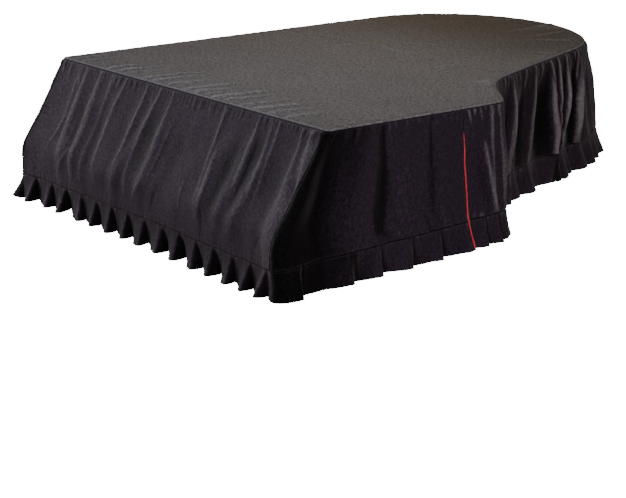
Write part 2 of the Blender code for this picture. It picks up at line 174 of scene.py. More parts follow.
# The cloth's broad folds: place round the lid, half width, height, drop where it starts, lean.
folds = metres(4, [
    (197, 28, 8, 10, 0.2), (293, 28, 9, 10, 0.18), (370, 30, -6, 30, 0.2), (470, 40, 8, 140, 0.2),
    (585, 28, 8, 10, 0.03), (665, 26, 8, 20, -0.18), (745, 30, 10, 20, 0.05), (880, 60, -7, 50, 0),
    (1069, 40, 12, 20, 0.1), (1189, 28, 9, 20, 0), (1293, 28, 9, 20, -0.1), (1409, 32, 10, 20, 0.12),
    (1520, 34, -18, 0, 0.22), (1632, 34, 3, 30, 0.12), (1690, 28, -7, 30, 0.12), (1760, 40, 2, 40, 0.05),
    (1824, 18, -4, 20, 0.02), (2072, 24, 8, 30, 0), (2160, 40, -20, 20, 0), (2270, 30, 14, 10, 0),
    (2400, 40, -12, 30, 0), (2510, 24, 18, 0, -0.2), (2575, 22, -10, 10, -0.15), (2665, 24, 16, 0, -0.22),
    (2700, 44, -24, 20, -0.05), (2762, 17, 22, 0, 0.05), (2830, 16, 16, 0, -0.18), (2900, 18, 20, 0, -0.3),
    (2945, 22, -16, 10, -0.2), (2985, 22, 18, 0, -0.2), (3070, 34, -12, 10, 0), (3160, 34, 14, 0, 0),
    (3250, 40, -12, 20, 0), (3350, 36, 15, 0, 0.05), (3470, 45, -13, 20, 0), (3590, 36, 15, 0, 0),
    (3700, 45, -12, 20, 0), (3820, 40, 14, 0, -0.05), (3950, 50, -10, 30, 0), (4090, 42, 12, 10, 0.05),
    (4260, 60, -8, 40, 0), (4430, 50, 9, 30, 0), (4640, 70, -5, 50, 0), (4840, 55, 7, 40, 0.05),
    (5040, 60, -5, 50, 0), (5180, 50, 7, 40, 0.1), (5320, 38, -13, 40, -0.05),
])

# Each fold grows over a drop, and dies away towards the bottom seam, most along the front.
foldFade = {
    "grow": 0.14,
    "front": (0.215, 0.125, 0.85),  # from which drop, over which drop, by which share
    "sides": (0.2, 0.1, 0.45),
    "frontTo": 1.5,
    "frontRuns": (0.04, 0.02),
    "upper": 0.007,  # the upper edge lies flush with the top's roll
}

# Creases that lie on them. A crease runs from one drop to another through three places round the lid,
# with its own width to the bass side and to the treble side; a negative height is a groove.
creaseForm = {
    "reach": 3.2,
    "blunt": 0.3,
    "steep": 1.35,
    "topSeam": 0.005,  # above this a crease starts in the seam, and below the next it ends in one
    "bottomSeam": 0.292,
    "fadeIn": 0.3,
    "fadeOut": 0.4,
}
creases = metres(8, [
    # from, to, place at its top, half way, at its foot, width before, width behind, height
    (0, 245, 157, 172, 187, 20, 39, 5.6), (0, 250, 201, 216, 232, 11, 17, 5.6), (30, 75, 166, 180, 194, 6, 8, 2.5),
    (120, 255, 191, 178, 150, 6, 9, 2.8), (0, 30, 247, 248, 249, 6, 8, 3.5), (0, 310, 291, 313, 350, 13, 22, 6.7),
    (130, 250, 257, 266, 276, 8, 12, 2.2), (215, 330, 312, 273, 248, 12, 14, 4.5),
    (0, 310, 368, 384, 402, 15, 42, 6.2), (0, 50, 414, 415, 416, 7, 9, 3), (0, 300, 466, 444, 508, 18, 25, 6.2),
    (0, 45, 500, 509, 520, 7, 9, 3), (0, 260, 582, 588, 590, 10, 17, 5.6), (10, 80, 616, 631, 650, 6, 9, 3),
    (0, 300, 670, 655, 686, 18, 20, 6.7), (0, 190, 737, 740, 744, 18, 17, 4.5),
    (40, 290, 789, 789, 789, 9, 13, 3.4), (235, 320, 770, 742, 718, 10, 12, 4.5), (0, 50, 854, 856, 858, 6, 8, 3.5),
    (0, 40, 893, 892, 890, 6, 8, 3.5), (0, 50, 938, 945, 954, 6, 8, 3.5), (205, 290, 966, 982, 993, 8, 12, 3.5),
    (0, 280, 1026, 1044, 1088, 14, 10, 6), (0, 235, 1192, 1205, 1212, 8, 14, 5.5),
    (0, 240, 1254, 1281, 1296, 10, 22, 5), (0, 250, 1292, 1312, 1330, 9, 14, 4.5),
    (0, 220, 1398, 1424, 1436, 10, 22, 5), (0, 60, 1478, 1482, 1487, 5, 7, 3),
    (260, 330, 1418, 1398, 1384, 6, 6, -4), (90, 285, 1058, 1086, 1116, 32, 9, 6),
    (245, 330, 1112, 1119, 1124, 7, 12, -5), (30, 245, 1206, 1222, 1226, 22, 7, 4.8),
    (0, 215, 1436, 1472, 1498, 12, 9, 6), (245, 335, 845, 838, 826, 9, 9, -4), (0, 45, 40, 46, 54, 6, 7, 3.5),
    (0, 60, 86, 90, 96, 6, 8, 4), (0, 50, 128, 132, 136, 6, 8, 3.5), (0, 300, 13, 16, 20, 6, 9, 6),
    # the treble side
    (0, 300, 1518, 1550, 1584, 24, 22, -4), (0, 300, 1668, 1704, 1716, 20, 9, -6.2),
    (0, 60, 1590, 1594, 1598, 6, 8, 2.5), (0, 45, 1742, 1744, 1748, 6, 7, 2.2),
    (0, 150, 1818, 1821, 1824, 7, 7, -3.5), (0, 40, 1880, 1883, 1887, 6, 7, 2.2),
    (80, 300, 1994, 2012, 2036, 9, 12, 5), (0, 296, 2022, 2024, 2030, 8, 10, 3.5),
    (0, 296, 2052, 2056, 2060, 10, 12, 3), (250, 318, 1802, 1812, 1824, 6, 7, -4.2),
    (262, 316, 1838, 1846, 1856, 6, 7, -3.6), (240, 314, 1866, 1880, 1890, 7, 7, -4.6),
    (256, 312, 1898, 1906, 1912, 5, 6, -3.4),
    # the bentside
    (0, 50, 2440, 2436, 2430, 6, 7, 3), (0, 45, 2466, 2462, 2456, 6, 7, 3), (0, 290, 2494, 2486, 2476, 8, 10, 4.5),
    (0, 40, 2520, 2518, 2516, 5, 6, 3), (0, 40, 2547, 2545, 2543, 5, 6, 3), (0, 80, 2592, 2585, 2577, 6, 7, 3),
    (0, 140, 2658, 2646, 2634, 7, 10, 4), (0, 70, 2712, 2703, 2694, 7, 8, 3.5),
    (0, 300, 2760, 2792, 2802, 7, 12, 6), (0, 300, 2818, 2812, 2824, 7, 10, 6),
    (0, 300, 2876, 2856, 2841, 8, 10, 6), (0, 130, 2967, 2947, 2938, 8, 10, 5),
    (120, 290, 2942, 2935, 2925, 12, 20, 5),
])

# Short gathers along the sewn edges, spaced by chance.
def gatherList(seed, pitch, length, width, height, lean):
    chance = random.Random(seed)
    rows, s = [], 0.0
    while s < lidLength:
        rows.append((s, chance.uniform(*length), chance.uniform(*width), chance.uniform(*height),
                     chance.uniform(-1, 1) * lean))
        s += pitch * chance.uniform(0.4, 1.7)
    return rows


edgeGathers = gatherList(7, 0.013, length=(0.014, 0.056), width=(0.0035, 0.006), height=(0.0016, 0.0046), lean=0.3)
seamGathers = gatherList(8, 0.015, length=(0.012, 0.04), width=(0.0035, 0.006), height=(0.00048, 0.00144), lean=0.4)
lidGathers = gatherList(9, 0.024, length=(0.04, 0.16), width=(0.0055, 0.01), height=(0.001, 0.0034), lean=0.25)


def gatherHeight(rows, s, away):  # away: distance from the sewn edge
    total = np.zeros_like(s)
    for place, length, width, height, lean in rows:
        off = roundFrom(s, place + lean * away)
        near = (np.abs(off) < 3 * width) & (away < length)
        if near.any():
            total[near] += height * bell(off[near] / width) * (1.0 - smooth(away[near] / length))
    return total


def foldShare(s, drop):
    def lost(start, run, share):
        return share * smooth((drop - start) / run)

    bassRun, trebleRun = foldFade["frontRuns"]
    front = smooth((foldFade["frontTo"] - s) / trebleRun) * smooth(s / bassRun)
    return 1.0 - lost(*foldFade["front"]) * front - lost(*foldFade["sides"]) * (s >= foldFade["frontTo"])


def foldHeight(s, drop):
    total = np.zeros_like(s)
    for place, halfWidth, height, start, lean in folds:
        off = roundFrom(s, place + lean * drop)
        near = np.abs(off) < 3 * halfWidth
        if near.any():
            total[near] += height * bell(off[near] / halfWidth) * smooth((drop[near] - start) / foldFade["grow"])
    for top, foot, first, middle, last, before, behind, height in creases:
        t = (drop - top) / (foot - top)
        off = roundFrom(s, first * (1 - t) * (1 - 2 * t) + 4 * middle * t * (1 - t) + last * t * (2 * t - 1))
        near = (t > 0) & (t < 1) & (np.abs(off) < creaseForm["reach"] * max(before, behind))
        if not near.any():
            continue
        off, t = off[near], t[near]
        width, blunt = np.where(off < 0, before, behind), creaseForm["blunt"]
        shape = np.exp(-(np.sqrt((off / width) ** 2 + blunt**2) - blunt) * creaseForm["steep"])
        if top >= creaseForm["topSeam"]:
            shape *= smooth(t / creaseForm["fadeIn"])
        if foot <= creaseForm["bottomSeam"]:
            shape *= smooth((1 - t) / creaseForm["fadeOut"])
        total[near] += height * shape
    total *= foldShare(np.mod(s, lidLength), drop)
    total += gatherHeight(edgeGathers, s, drop)
    total *= smooth((drop - panelTop) / foldFade["upper"])
    return total + gatherHeight(seamGathers, s, np.maximum(seamDrop(s) - drop, 0.0))


def slitLine(drop):
    return slit + sum(back * smooth((drop - start) / run) for back, start, run in hang["slitBends"])


def redWidth(drop):  # the red edge narrows to a third at its top
    return hang["redEdge"] * np.clip(0.3 + (drop - hang["redTop"]) / hang["redRun"], 0.0, 1.0)


def slitTuck(behind, drop):
    return hang["slitTuck"] * (1.0 - smooth(behind / 0.08)) * smooth((drop - hang["slitTop"]) / 0.05)


def unevenness(s, drop):  # large cloth never hangs quite true
    slow = np.sin(s * 41.0 + drop * 23.0) * np.sin(s * 17.0 - drop * 31.0 + 1.3)
    quick = np.sin(s * 83.0 - drop * 45.0 + 0.7) * np.sin(drop * 52.0 + s * 9.0)
    return hang["uneven"] * (slow + 0.6 * quick) * smooth(drop / 0.08)


def hangAt(s, drop, out):  # that far down and that far out from the lid's edge, and forward as the front falls
    x, y = lidAt(s)
    outX, outY = lidOutward(s)
    ahead = forwardShare(s) * readSoftly(hang["frontFall"], drop, 1, 0.012)
    return x + outX * out, y + outY * out - ahead, hang["cloth"] - drop


def coverPoint(s, drop, tuck=0.0, fold=None):
    fold = (foldHeight(s, drop) if fold is None else fold) + unevenness(s, drop)
    stand, puff = seamRow(s, 2), seamRow(s, 3) * smooth(drop / 0.03)
    return hangAt(s, drop, puff + (stand - puff) * (drop / seamDrop(s)) ** 1.1 + fold - tuck)


def plainPoint(s, drop):  # the cover without its small creases, for a steady direction along the seam
    broad = sum(height * bell(roundFrom(s, place + lean * drop) / halfWidth)
                for place, halfWidth, height, _, lean in folds)
    return hangAt(s, drop, seamRow(s, 2) + broad)


def readPoints(sheet):
    flat = np.empty(len(sheet.data.vertices) * 3)
    sheet.data.vertices.foreach_get("co", flat)
    return flat.reshape(-1, 3)


def clothGrid(name, columns, rows, place, liftSettings=()):
    # place(column, row) gives x, y, z, the two cloth coordinates in metres, the distance to a sewn edge,
    # how far the folds stand out there, and what more painted light or shade lifts or sinks the nap's colour
    bpy.ops.mesh.primitive_grid_add(x_subdivisions=columns, y_subdivisions=rows, size=2.0)
    sheet = bpy.context.object
    sheet.name = sheet.data.name = name
    flat = readPoints(sheet)
    column = np.rint((flat[:, 0] + 1.0) / 2.0 * columns).astype(int)
    row = np.rint((1.0 - flat[:, 1]) / 2.0 * rows).astype(int)
    x, y, z, u, v, edge, stand, *shade = place(column, row)
    order = np.lexsort((column, row))
    lift = np.zeros(len(x))
    lift[order] = wearAndLightLift(stand[order].reshape(rows + 1, -1), liftSettings).ravel()
    lift += sum(shade)
    setCloth(sheet, np.column_stack([x, y, z]), u, v, edge, lift)
    return sheet


def wearAndLightLift(stand, settings):
    # where the cloth stands out from its neighbourhood it gets a painted highlight, with some rubbed wear, and in its
    # hollows painted shade
    total = np.zeros_like(stand)
    for reach, shift, ridgeShare, hollowShare in settings:
        ridge = stand - softened(stand, reach)
        if shift:
            ridge = np.concatenate([ridge[:, shift:], np.repeat(ridge[:, -1:], shift, axis=1)], axis=1)
        total += np.where(ridge > 0, ridgeShare, hollowShare) * ridge
    return total


def softened(values, reach):
    size = int(3 * reach)
    kernel = np.exp(-0.5 * (np.arange(-size, size + 1) / reach) ** 2)
    kernel /= kernel.sum()
    wide = np.pad(values, ((0, 0), (size, size)), mode="reflect", reflect_type="odd")
    return np.apply_along_axis(lambda line: np.convolve(line, kernel, mode="valid"), 1, wide)


def setCloth(sheet, points, u, v, edge, lift):
    mesh = sheet.data
    mesh.vertices.foreach_set("co", points.ravel())
    corner = np.empty(len(mesh.loops), dtype=np.int32)
    mesh.loops.foreach_get("vertex_index", corner)
    layer = mesh.uv_layers[0] if mesh.uv_layers else mesh.uv_layers.new()
    layer.name = "clothMap"
    layer.data.foreach_set("uv", np.column_stack([u[corner], v[corner]]).ravel())
    for name, values in (("sewnEdge", edge), ("wearAndLightLift", lift)):
        if name in mesh.attributes:
            mesh.attributes.remove(mesh.attributes[name])
        mesh.attributes.new(name, "FLOAT", "POINT").data.foreach_set("value", np.asarray(values, np.float32))
    mesh.update()


def finishCloth(sheet, outside, reverse, redRim=False):
    mesh = sheet.data
    mesh.materials.clear()
    for look in (outside, reverse):
        mesh.materials.append(look)
    mesh.shade_smooth()
    bpy.context.view_layer.objects.active = sheet
    shells = 2 * len(mesh.polygons)
    wall = sheet.modifiers.new("wall", "SOLIDIFY")
    wall.thickness, wall.offset = hang["wall"], -1.0
    wall.material_offset, wall.material_offset_rim = 1, int(redRim)
    bpy.ops.object.modifier_apply(modifier=wall.name)
    sewn = np.empty(len(mesh.vertices), dtype=np.float32)
    mesh.attributes["sewnEdge"].data.foreach_get("value", sewn)
    for face in mesh.polygons:  # the seams' lips are black on both faces, and only the hem shows its red edge
        if face.material_index == 1:
            away = [sewn[k] for k in face.vertices]
            if min(away) < 0.005 or (redRim and face.index >= shells and max(away) - min(away) > 0.0002):
                face.material_index = 0
    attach(sheet, "root")
    sheet.select_set(False)
    return sheet


def turnedIn(distance, radius, depth):  # how far the cloth's edge turns in towards its seam
    t = np.clip(1.0 - distance / radius, 0.0, 1.0)
    return depth * (1.0 - np.sqrt(1.0 - t * t))


def spread(length, step, fine=(0.0, 0.0004, 0.001, 0.0018, 0.0028, 0.0042)):
    # places along a length: close together at both ends, even between them
    inner = np.linspace(fine[-1], length - fine[-1], max(2, round((length - 2 * fine[-1]) / step)) + 1)
    return np.concatenate([fine[:-1], inner, length - np.array(fine[:-1])[::-1]])


print("lid line", round(float(lidLength), 4), "slit at", round(slit, 4))


class Pin:  # one socket of a shader, so that sums are written as sums
    def __init__(self, tree, socket):
        self.tree, self.socket = tree, socket

    def join(self, kind, *values):
        return addNode(self.tree, "ShaderNodeMath", {"operation": kind}, values)

    def __add__(self, other):
        return self.join("ADD", self, other)

    def __radd__(self, other):
        return self.join("ADD", other, self)

    def __sub__(self, other):
        return self.join("SUBTRACT", self, other)

    def __rsub__(self, other):
        return self.join("SUBTRACT", other, self)

    def __mul__(self, other):
        return self.join("MULTIPLY", self, other)

    def __rmul__(self, other):
        return self.join("MULTIPLY", other, self)

    def __lt__(self, other):
        return self.join("LESS_THAN", self, other)

    def __gt__(self, other):
        return self.join("GREATER_THAN", self, other)

    def __abs__(self):
        return self.join("ABSOLUTE", self)

    def ramp(self, low, high):
        return addNode(self.tree, "ShaderNodeMapRange", {"clamp": True, "interpolation_type": "SMOOTHSTEP"},
                       {"Value": self, "From Min": low, "From Max": high})


def addNode(tree, kind, settings, values, output=0):
    node = tree.nodes.new(kind)
    for key, value in settings.items():
        setattr(node, key, value)
    pairs = values.items() if isinstance(values, dict) else enumerate(values)
    for key, value in pairs:
        socket = node.inputs[key]
        if isinstance(value, Pin):
            tree.links.new(value.socket, socket)
        else:
            socket.default_value = value
    return Pin(tree, node.outputs[output])


def newMaterial(name):
    made = bpy.data.materials.new(name)
    made.use_nodes = True
    return made, made.node_tree, made.node_tree.nodes["Principled BSDF"]


def setInputs(node, values):
    for key, value in values.items():
        node.inputs[key].default_value = value


def blend(tree, factor, first, second):
    first, second = (value if isinstance(value, Pin) else (*value, 1.0) for value in (first, second))
    return addNode(tree, "ShaderNodeMix", {"data_type": "RGBA"}, {0: factor, 6: first, 7: second}, output=2)


# The nap's colours, from the painted shade of its deepest hollows to the painted highlight, with some wear, of its
# ridges.
blackDepths = {"deep": (0.0007, 0.0006, 0.0007), "sheenTint": (0.66, 0.62, 0.62), "thread": (0.03, 0.028, 0.03)}
clothLook = {
    "black": {"dark": (0.0062, 0.0041, 0.007), "pale": (0.0225, 0.0158, 0.0238), "roughness": (0.72, 0.92),
              "rubbedHighlight": (0.07, 0.063, 0.067), "wornHighlight": (0.125, 0.116, 0.115),
              "hollowShade": (0.002, 0.0017, 0.0021), "sheen": 0.09, **blackDepths},
    "litTop": {"dark": (0.011, 0.01, 0.0106), "pale": (0.08, 0.075, 0.076), "roughness": (0.8, 0.95),
               "rubbedHighlight": (0.115, 0.108, 0.108), "wornHighlight": (0.17, 0.16, 0.158),
               "hollowShade": (0.006, 0.0056, 0.006), "sheen": 0.03, **blackDepths},
    "red": {"dark": (0.4, 0.022, 0.026), "pale": (0.62, 0.05, 0.052), "roughness": (0.8, 0.95),
            "rubbedHighlight": (0.66, 0.06, 0.06), "wornHighlight": (0.66, 0.06, 0.06),
            "hollowShade": (0.34, 0.016, 0.02), "deep": (0.2, 0.01, 0.012),
            "sheen": 0.2, "sheenTint": (0.9, 0.5, 0.5), "thread": (0.32, 0.02, 0.03)},
}

# What the lift lays over the nap's colour as painted highlight, with some wear, and painted shade: which colour, up
# or down, from and to which lift, share, share by tone.
liftLayers = [
    ("rubbedHighlight", 1.0, 0.0002, 0.0034, 0.25, 0.75), ("wornHighlight", 1.0, 0.0035, 0.011, 0.35, 0.65),
    ("hollowShade", -1.0, 0.0002, 0.0035, 0.9, 0.0), ("deep", -1.0, 0.0035, 0.01, 0.96, 0.0),
]
stitch = {"pitch": 0.0034, "share": 0.72, "line": 0.0042, "halfWidth": 0.0006, "paler": 0.4}


def clothMaterial(name, look, mix=(0.2, 0.42, 0.16, 0.18, 0.04), tufts=(150.0, 120.0)):
    made, tree, shader = newMaterial(name)
    place = addNode(tree, "ShaderNodeUVMap", {"uv_map": "clothMap"}, {})
    parts = tree.nodes.new("ShaderNodeSeparateXYZ")
    tree.links.new(place.socket, parts.inputs[0])
    u, v = Pin(tree, parts.outputs[0]), Pin(tree, parts.outputs[1])
    edge, lift = (addNode(tree, "ShaderNodeAttribute", {"attribute_name": read}, {}, output=2)
                  for read in ("sewnEdge", "wearAndLightLift"))

    def noise(across, down, detail, rough=0.55):
        where = addNode(tree, "ShaderNodeCombineXYZ", {}, (u * across, v * down, 0.0))
        return addNode(tree, "ShaderNodeTexNoise", {"noise_dimensions": "2D"},
                       {"Vector": where, "Scale": 1.0, "Detail": detail, "Roughness": rough})

    brushed = noise(170.0, 55.0, 4.0, 0.62)  # strokes of the brushed nap
    grain = noise(330.0, 330.0, 2.0)  # its tufts
    nap = noise(800.0, 700.0, 3.0)  # its short fibres
    cloud = noise(5.0, 6.0, 3.0)  # rubbed and pressed places
    pucker = noise(150.0, 18.0, 3.0) * (1.0 - edge.ramp(0.004, 0.055))
    beat = addNode(tree, "ShaderNodeMath", {"operation": "FRACT"}, (u * (1.0 / stitch["pitch"]),))
    stitches = (abs(edge - stitch["line"]) < stitch["halfWidth"]) * (beat < stitch["share"])
    mottle = noise(*tufts, 2.0)
    mixed = brushed * mix[0] + grain * mix[1] + mottle * mix[2] + nap * mix[3] + cloud * mix[4]
    tone = mixed.ramp(0.34, 0.66)
    lift = lift + (brushed - 0.5) * 0.0022 + (mottle - 0.5) * 0.0012  # the painted highlight, wear and shade vary unevenly
    colour = blend(tree, tone, look["dark"], look["pale"])
    # painted highlight, with some wear, on ridges and painted shade in hollows
    for layer, side, low, high, share, byTone in liftLayers:
        colour = blend(tree, (lift * side).ramp(low, high) * (share + byTone * tone), colour, look[layer])
    # painted shade along the sewn seams
    colour = blend(tree, 1.0 - edge.ramp(0.001, 0.0026), colour, look["deep"])
    colour = blend(tree, stitches * stitch["paler"], colour, look["thread"])
    tree.links.new(colour.socket, shader.inputs["Base Color"])
    low, high = look["roughness"]
    tree.links.new((high - (high - low) * mottle.ramp(0.35, 0.7)).socket, shader.inputs["Roughness"])
    coarse = addNode(tree, "ShaderNodeBump", {}, {"Strength": 0.75, "Distance": 0.0024,
                                                  "Height": brushed * 0.4 + grain * 0.45 + pucker * 1.2})
    fine = addNode(tree, "ShaderNodeBump", {}, {"Strength": 0.5, "Distance": 0.0006,
                                                "Height": nap + stitches * 0.8, "Normal": coarse})
    tree.links.new(fine.socket, shader.inputs["Normal"])
    setInputs(shader, {"Sheen Weight": look["sheen"], "Sheen Roughness": 0.45,
                       "Sheen Tint": (*look["sheenTint"], 1.0), "Specular IOR Level": 0.06})
    return made


blackCloth = clothMaterial("blackCloth", clothLook["black"])
# the top's cloth is a paler copy of the black cloth with less sheen: painted light for the top lit from above
litTopCloth = clothMaterial("litTopCloth", clothLook["litTop"], (0.26, 0.28, 0.32, 0.1, 0.04), (210.0, 140.0))
redReverse = clothMaterial("redReverse", clothLook["red"])

# The top: creases left from folding, and short puckers along its edge.
topPanel = {
    "cell": (0.0072, 0.0108),
    "firstSteps": (0.0002, 0.0006, 0.001, 0.0014, 0.0018, 0.0022, 0.003, 0.004, 0.006),
    "fineStep": 0.003,  # between the rows beside the two long creases
    "fineReach": 0.016,
    "evenTo": 0.6,  # behind this the rows follow the tail's outline
    "tailStep": 0.0095,
    "inset": 0.0035,
    "turns": 7,  # the rings of its turned edge
    "lipInset": 0.0012,
    # painted highlight, with some wear, on the creases' ridges: share of their height
    "creaseWearAndLight": 0.55,
    "darkerAndTailShade": (0.0005, 0.0024),  # darker everywhere, and painted shade towards the tail
    "tailShadeFrom": (-0.1, 0.8),
    "seamY": 0.054,
    "crossY": -0.365,
    "lines": metres(6, [
        # x and y of one end, x and y of the other, half width, height
        (-735, 54, 400, 54, 7.5, 1.2), (-735, 70, 400, 68, 13, 0.8), (-735, -365, 735, -365, 9, 0.6),
        (-35, 50, -35, -120, 8, 1.2), (-170, 60, -30, 50, 12, 3), (30, -20, 120, 0, 12, 3),
        (230, -30, 220, 80, 13, 3.6), (260, -20, 250, 70, 11, 3), (-180, 170, -80, 240, 12, 2.6),
        (490, -20, 500, -120, 12, 3.4), (540, -50, 550, -140, 11, 3), (-160, 700, -150, 520, 13, 3.6),
        (-150, 800, -200, 680, 13, 3.4), (-30, 650, -20, 510, 12, 3), (-170, -260, -30, -190, 14, 2.4),
        (-320, -40, -260, 80, 12, 2.4), (-330, 740, -410, 660, 12, 2.6), (-670, -765, -660, -620, 13.2, 3.9),
        (-610, -765, -600, -600, 13.2, 3.9), (-440, -765, -420, -620, 13.2, 4.2),
        (-380, -765, -360, -600, 13.2, 4.5), (-330, -765, -310, -640, 12, 3.9), (-220, -765, -180, -480, 13.2, 4.5),
        (-160, -765, -130, -560, 13.2, 5.1), (-80, -765, -50, -580, 13.2, 4.2), (20, -765, 60, -500, 14.4, 5.4),
        (80, -765, 110, -600, 13.2, 4.2), (180, -765, 220, -520, 14.4, 5.4), (240, -765, 270, -580, 13.2, 4.8),
        (330, -765, 360, -600, 13.2, 4.5), (400, -765, 440, -560, 14.4, 5.1), (470, -765, 500, -600, 13.2, 4.8),
        (550, -765, 570, -620, 13.2, 4.5), (550, -60, 470, -140, 12, 3.4), (630, -110, 550, -210, 12, 3.4),
        (100, 560, 0, 480, 12, 3.4), (-110, 710, -140, 600, 12, 3.2),
    ]),
}


def topHeight(x, y):
    total = np.zeros_like(x)
    for ax, ay, bx, by, width, height in topPanel["lines"]:
        length = math.hypot(bx - ax, by - ay)
        along = ((x - ax) * (bx - ax) + (y - ay) * (by - ay)) / length
        off = (x - ax) * (by - ay) / length - (y - ay) * (bx - ax) / length
        near = (np.abs(off) < 3 * width) & (along > -0.03) & (along < length)
        t = along[near] / length
        fade = 1.0 - smooth((t - 0.35) / 0.65) if length < 0.3 else 1.0
        total[near] += height * bell(off[near] / width) * fade
    uneven = np.sin(x * 19.0 + y * 7.0) * np.sin(y * 23.0 - x * 5.0) + 0.5 * np.sin(x * 47.0) * np.sin(y * 39.0 + 2.0)
    return total, 0.0006 + 0.0004 * uneven


def insetLine(count):  # the line along which the top's edge starts to turn down
    s = np.linspace(0.0, lidLength, count, endpoint=False)
    x, y = lidAt(s)
    outX, outY = lidOutward(s)
    return s, x - outX * topPanel["inset"], y - outY * topPanel["inset"], outX, outY


def edgePlace(x, y):  # place round the lid of the nearest point of its edge, and how far in it is
    s, ex, ey, outX, outY = insetLine(5000)
    best, away = np.zeros(len(x), int), np.zeros(len(x))
    for start in range(0, len(x), 2000):
        part = slice(start, start + 2000)
        gap = (x[part, None] - ex[None]) ** 2 + (y[part, None] - ey[None]) ** 2
        best[part] = gap.argmin(axis=1)
        away[part] = np.sqrt(gap.min(axis=1))
    beside = (y - ey[best]) * outX[best] - (x - ex[best]) * outY[best]
    return s[best] + np.clip(beside, -s[1] / 2, s[1] / 2), away


def layTop():
    s, ex, ey, *_ = insetLine(12000)
    tip = ey.argmax()
    right = (s > frontEnd / 2) & (s <= s[tip])
    rightX, rightY = ex[right], np.maximum.accumulate(ey[right])
    middle = np.count_nonzero(s < frontEnd / 2)
    leftX, leftY = (np.concatenate([line[tip:], line[:middle]])[::-1] for line in (ex, ey))
    leftY = np.maximum.accumulate(leftY)
    rows = [ey.min()]
    for step in topPanel["firstSteps"]:
        rows.append(rows[-1] + step)
    while rows[-1] < topPanel["evenTo"]:
        near = min(abs(rows[-1] - topPanel[line]) for line in ("seamY", "crossY"))
        rows.append(rows[-1] + (topPanel["fineStep"] if near < topPanel["fineReach"] else topPanel["cell"][1]))
    rest = s[(s < s[tip] - 0.006) & right & (ey > rows[-1] + 0.004)]
    rows += list(np.interp(rest[::round(topPanel["tailStep"] / s[1])], s, ey))
    rows = np.array(rows)
    columns = round(2 * lid["halfWidth"] / topPanel["cell"][0])

    def place(column, row):
        y = rows[row]
        corner = lid["halfWidth"] - lid["cornerRadius"]
        left = np.where(row == 0, -corner, np.interp(y, leftY, leftX))
        x = left + (np.where(row == 0, corner, np.interp(y, rightY, rightX)) - left) * column / columns
        return x, y, np.zeros_like(x), x, y, np.full(len(x), 0.5), np.zeros_like(x)

    # row 0 is the front edge, so the grid is turned to face up
    sheet = clothGrid("topPanel", columns, len(rows) - 1, lambda c, r: place(c, len(rows) - 1 - r))

    def pickedPoints():
        bpy.ops.object.mode_set(mode="OBJECT")
        picked = np.zeros(len(sheet.data.vertices), bool)
        sheet.data.vertices.foreach_get("select", picked)
        return np.nonzero(picked)[0]

    bpy.ops.object.mode_set(mode="EDIT")
    bpy.ops.mesh.select_all(action="SELECT")
    bpy.ops.mesh.region_to_loop()
    rings = [pickedPoints()]
    for _ in range(topPanel["turns"]):
        bpy.ops.object.mode_set(mode="EDIT")
        bpy.ops.mesh.extrude_edges_move(TRANSFORM_OT_translate={"value": (0.0, 0.0, -0.0006)})
        rings.append(pickedPoints())
    points = readPoints(sheet)
    around, away = edgePlace(points[:, 0], points[:, 1])
    outX, outY = lidOutward(around)
    edgeX, edgeY = lidAt(around)
    inner = np.ones(len(points), bool)
    inner[np.concatenate(rings[1:])] = False
    creased, uneven = topHeight(points[:, 0], points[:, 1])
    creased += gatherHeight(lidGathers, around, away) * smooth((away + 0.004) / 0.012)
    height = hang["cloth"] + creased * smooth((away + 0.006) / 0.02) + uneven * smooth(away / 0.02)
    points[inner, 2] = height[inner]
    for k, ring in enumerate(rings[1:], 1):
        turn = math.radians(90.0) * min(1.0, k / (topPanel["turns"] - 1))
        inset = topPanel["inset"] * (1.0 - math.sin(turn))
        z = hang["cloth"] - hang["roll"] * (1.0 - math.cos(turn))
        if k == topPanel["turns"]:
            inset, z = topPanel["lipInset"], hang["cloth"] - hang["roll"] - 0.0002
        points[ring, 0] = edgeX[ring] - outX[ring] * inset
        points[ring, 1] = edgeY[ring] - outY[ring] * inset
        points[ring, 2] = z
    edge = np.where(inner, away + 0.004, 0.0035)
    # the turned edge's last ring counts as a sewn edge and takes the painted seam shade
    edge[rings[-1]] = 0.0005
    mesh = sheet.data
    (darker, tailShade), (start, run) = topPanel["darkerAndTailShade"], topPanel["tailShadeFrom"]
    # painted highlight, with some wear, on the creases, painted shade towards the tail, and a painted highlight all
    # along the turned edge
    nap = creased * topPanel["creaseWearAndLight"] - darker - tailShade * smooth((points[:, 1] - start) / run)
    setCloth(sheet, points, points[:, 0], points[:, 1], edge, np.where(inner, nap, 0.0042))
    bpy.ops.object.mode_set(mode="EDIT")
    bpy.ops.mesh.select_all(action="SELECT")
    bpy.ops.mesh.normals_make_consistent(inside=False)
    bpy.ops.object.mode_set(mode="OBJECT")
    if sum(p.normal.z for p in list(mesh.polygons)[:200]) < 0:
        mesh.flip_normals()
    return finishCloth(sheet, litTopCloth, redReverse)


